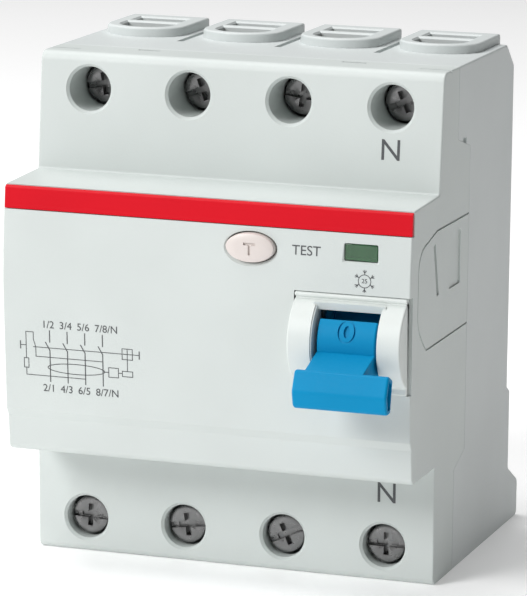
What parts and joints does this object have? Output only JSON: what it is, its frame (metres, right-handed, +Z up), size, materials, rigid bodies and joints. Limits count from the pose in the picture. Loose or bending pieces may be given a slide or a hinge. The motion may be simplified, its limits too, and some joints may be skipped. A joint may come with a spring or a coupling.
{
  "type": "residual current device",
  "caption": "DIN-rail residual current circuit breaker with a toggle lever, test button, status window and rows of screw clamp terminals at its top and bottom.",
  "frame": {"origin": "centre of the rail seat at the back: on the rail plane, on the rail's centre line, midway across the width", "axes": "+Z up along the height, +Y towards the rail and the wall behind it, +X to the right as seen from the front"},
  "size_m": [0.07, 0.0768, 0.0866],
  "materials": {
    "cover": "fine matt moulded thermoplastic, very light grey",
    "base": "fine matt moulded thermoplastic, light grey",
    "bezel": "fine matt moulded thermoplastic, near white",
    "stripe": "satin red plastic strip",
    "lens": "green tinted clear plastic, polished",
    "flag": "matt plastic, green and red fields",
    "toggle": "satin moulded plastic, blue",
    "button": "satin moulded plastic, cream",
    "steel": "drawn bright steel",
    "spring_steel": "oiled spring wire",
    "screw": "dark zinc plated steel",
    "zinc": "zinc plated sheet steel",
    "copper": "bare copper strip",
    "brass": "spring brass strip",
    "enamel_wire": "close wound enamelled copper wire",
    "inner_plastic": "moulded insulating plastic, grey",
    "black_plastic": "moulded insulating plastic, black"
  },
  "bodies": {
    "housing": {"front_cover": "cover", "rear_housing": "base", "toggle_bezel": "bezel", "red_stripe": "stripe", "indicator_window": "lens", "indicator_pin": "steel", "toggle_spring": "spring_steel", "test_spring": "spring_steel", "spring_stop": "inner_plastic", "test_contact": "brass", "test_resistor": "inner_plastic", "fixed_contact_1": "copper", "load_terminal_1": "copper", "primary_conductor_1": "copper", "fixed_contact_2": "copper", "load_terminal_2": "copper", "primary_conductor_2": "copper", "fixed_contact_3": "copper", "load_terminal_3": "copper", "primary_conductor_3": "copper", "fixed_contact_4": "copper", "load_terminal_4": "copper", "primary_conductor_4": "copper", "toroid_core": "inner_plastic", "secondary_winding": "enamel_wire", "trip_relay": "inner_plastic", "trip_lever_pin": "steel"},
    "toggle": {"toggle_lever": "toggle", "toggle_shaft": "steel"},
    "link": {"link_rod": "steel"},
    "flag": {"indicator_flag": "flag"},
    "contact_bar": {"contact_carrier": "black_plastic", "carrier_shaft": "steel", "moving_contact_1": "copper", "moving_contact_2": "copper", "moving_contact_3": "copper", "moving_contact_4": "copper"},
    "button": {"test_button": "button"},
    "plunger": {"relay_plunger": "steel"},
    "trip": {"trip_lever": "black_plastic"},
    "upper_clip_left": {"upper_rail_clip_left": "base"},
    "upper_clip_right": {"upper_rail_clip_right": "base"},
    "lower_clip": {"lower_rail_clip": "base"},
    "screw_top_1": {"terminal_screw_top_1": "screw"},
    "clamp_top_1": {"terminal_clamp_top_1": "zinc"},
    "screw_top_2": {"terminal_screw_top_2": "screw"},
    "clamp_top_2": {"terminal_clamp_top_2": "zinc"},
    "screw_top_3": {"terminal_screw_top_3": "screw"},
    "clamp_top_3": {"terminal_clamp_top_3": "zinc"},
    "screw_top_4": {"terminal_screw_top_4": "screw"},
    "clamp_top_4": {"terminal_clamp_top_4": "zinc"},
    "screw_bottom_1": {"terminal_screw_bottom_1": "screw"},
    "clamp_bottom_1": {"terminal_clamp_bottom_1": "zinc"},
    "screw_bottom_2": {"terminal_screw_bottom_2": "screw"},
    "clamp_bottom_2": {"terminal_clamp_bottom_2": "zinc"},
    "screw_bottom_3": {"terminal_screw_bottom_3": "screw"},
    "clamp_bottom_3": {"terminal_clamp_bottom_3": "zinc"},
    "screw_bottom_4": {"terminal_screw_bottom_4": "screw"},
    "clamp_bottom_4": {"terminal_clamp_bottom_4": "zinc"}
  },
  "joints": [
    {"name": "toggle_hinge", "type": "hinge", "parent": "housing", "child": "toggle", "pos_m": [0.02523, -0.0553, 0.0007], "axis": [-1, 0, 0], "range_deg": [0, 60]},
    {"name": "contact_hinge", "type": "hinge", "parent": "housing", "child": "contact_bar", "pos_m": [0, -0.0275, -0.002], "axis": [-1, 0, 0], "range_deg": [0, 15.3]},
    {"name": "link_hinge", "type": "hinge", "parent": "toggle", "child": "link", "pos_m": [0.019, -0.0533, 0.00416], "axis": [-1, 0, 0], "range_deg": [-68.6, 0.1]},
    {"name": "flag_hinge", "type": "hinge", "parent": "housing", "child": "flag", "pos_m": [0.0266, -0.0486, 0.01545], "axis": [-1, 0, 0], "range_deg": [0, 30.5]},
    {"name": "test_button_slide", "type": "slide", "parent": "housing", "child": "button", "axis": [0, 1, 0], "range_m": [0, 0.0015], "stiffness_N_per_m": 800, "springref_m": -0.001, "deforming": ["test_spring"]},
    {"name": "plunger_slide", "type": "slide", "parent": "housing", "child": "plunger", "axis": [0, 0, 1], "range_m": [0, 0.0015]},
    {"name": "trip_lever_hinge", "type": "hinge", "parent": "housing", "child": "trip", "pos_m": [-0.0214, -0.038, 0.0078], "axis": [-1, 0, 0], "range_deg": [0, 11.6]},
    {"name": "upper_clip_left_slide", "type": "slide", "parent": "housing", "child": "upper_clip_left", "axis": [0, 0, 1], "range_m": [0, 0.0035]},
    {"name": "upper_clip_right_slide", "type": "slide", "parent": "housing", "child": "upper_clip_right", "axis": [0, 0, 1], "range_m": [0, 0.0035]},
    {"name": "lower_clip_slide", "type": "slide", "parent": "housing", "child": "lower_clip", "axis": [0, 0, -1], "range_m": [0, 0.0035], "stiffness_N_per_m": 400, "springref_m": -0.002},
    {"name": "screw_top_1_turn", "type": "hinge", "parent": "housing", "child": "screw_top_1", "pos_m": [-0.02625, -0.038, 0.0365], "axis": [0, 1, 0], "range_deg": [0, 2881]},
    {"name": "clamp_top_1_slide", "type": "slide", "parent": "housing", "child": "clamp_top_1", "axis": [0, -1, 0], "range_m": [0, 0.0064]},
    {"name": "screw_top_2_turn", "type": "hinge", "parent": "housing", "child": "screw_top_2", "pos_m": [-0.00875, -0.038, 0.0365], "axis": [0, 1, 0], "range_deg": [0, 2881]},
    {"name": "clamp_top_2_slide", "type": "slide", "parent": "housing", "child": "clamp_top_2", "axis": [0, -1, 0], "range_m": [0, 0.0064]},
    {"name": "screw_top_3_turn", "type": "hinge", "parent": "housing", "child": "screw_top_3", "pos_m": [0.00875, -0.038, 0.0365], "axis": [0, 1, 0], "range_deg": [0, 2881]},
    {"name": "clamp_top_3_slide", "type": "slide", "parent": "housing", "child": "clamp_top_3", "axis": [0, -1, 0], "range_m": [0, 0.0064]},
    {"name": "screw_top_4_turn", "type": "hinge", "parent": "housing", "child": "screw_top_4", "pos_m": [0.02625, -0.038, 0.0365], "axis": [0, 1, 0], "range_deg": [0, 2881]},
    {"name": "clamp_top_4_slide", "type": "slide", "parent": "housing", "child": "clamp_top_4", "axis": [0, -1, 0], "range_m": [0, 0.0064]},
    {"name": "screw_bottom_1_turn", "type": "hinge", "parent": "housing", "child": "screw_bottom_1", "pos_m": [-0.02625, -0.038, -0.0365], "axis": [0, 1, 0], "range_deg": [0, 2881]},
    {"name": "clamp_bottom_1_slide", "type": "slide", "parent": "housing", "child": "clamp_bottom_1", "axis": [0, -1, 0], "range_m": [0, 0.0064]},
    {"name": "screw_bottom_2_turn", "type": "hinge", "parent": "housing", "child": "screw_bottom_2", "pos_m": [-0.00875, -0.038, -0.0365], "axis": [0, 1, 0], "range_deg": [0, 2881]},
    {"name": "clamp_bottom_2_slide", "type": "slide", "parent": "housing", "child": "clamp_bottom_2", "axis": [0, -1, 0], "range_m": [0, 0.0064]},
    {"name": "screw_bottom_3_turn", "type": "hinge", "parent": "housing", "child": "screw_bottom_3", "pos_m": [0.00875, -0.038, -0.0365], "axis": [0, 1, 0], "range_deg": [0, 2881]},
    {"name": "clamp_bottom_3_slide", "type": "slide", "parent": "housing", "child": "clamp_bottom_3", "axis": [0, -1, 0], "range_m": [0, 0.0064]},
    {"name": "screw_bottom_4_turn", "type": "hinge", "parent": "housing", "child": "screw_bottom_4", "pos_m": [0.02625, -0.038, -0.0365], "axis": [0, 1, 0], "range_deg": [0, 2881]},
    {"name": "clamp_bottom_4_slide", "type": "slide", "parent": "housing", "child": "clamp_bottom_4", "axis": [0, -1, 0], "range_m": [0, 0.0064]}
  ],
  "couplings": [
    {"joint": "contact_hinge", "follows": "toggle_hinge", "ratio": 0.25333},
    {"joint": "link_hinge", "follows": "toggle_hinge", "ratio": -1.1415},
    {"joint": "flag_hinge", "follows": "toggle_hinge", "ratio": 0.5},
    {"joint": "trip_lever_hinge", "follows": "plunger_slide", "rad_per_m": 133.33},
    {"joint": "screw_top_1_turn", "follows": "clamp_top_1_slide", "rad_per_m": 7854},
    {"joint": "screw_top_2_turn", "follows": "clamp_top_2_slide", "rad_per_m": 7854},
    {"joint": "screw_top_3_turn", "follows": "clamp_top_3_slide", "rad_per_m": 7854},
    {"joint": "screw_top_4_turn", "follows": "clamp_top_4_slide", "rad_per_m": 7854},
    {"joint": "screw_bottom_1_turn", "follows": "clamp_bottom_1_slide", "rad_per_m": 7854},
    {"joint": "screw_bottom_2_turn", "follows": "clamp_bottom_2_slide", "rad_per_m": 7854},
    {"joint": "screw_bottom_3_turn", "follows": "clamp_bottom_3_slide", "rad_per_m": 7854},
    {"joint": "screw_bottom_4_turn", "follows": "clamp_bottom_4_slide", "rad_per_m": 7854}
  ]
}
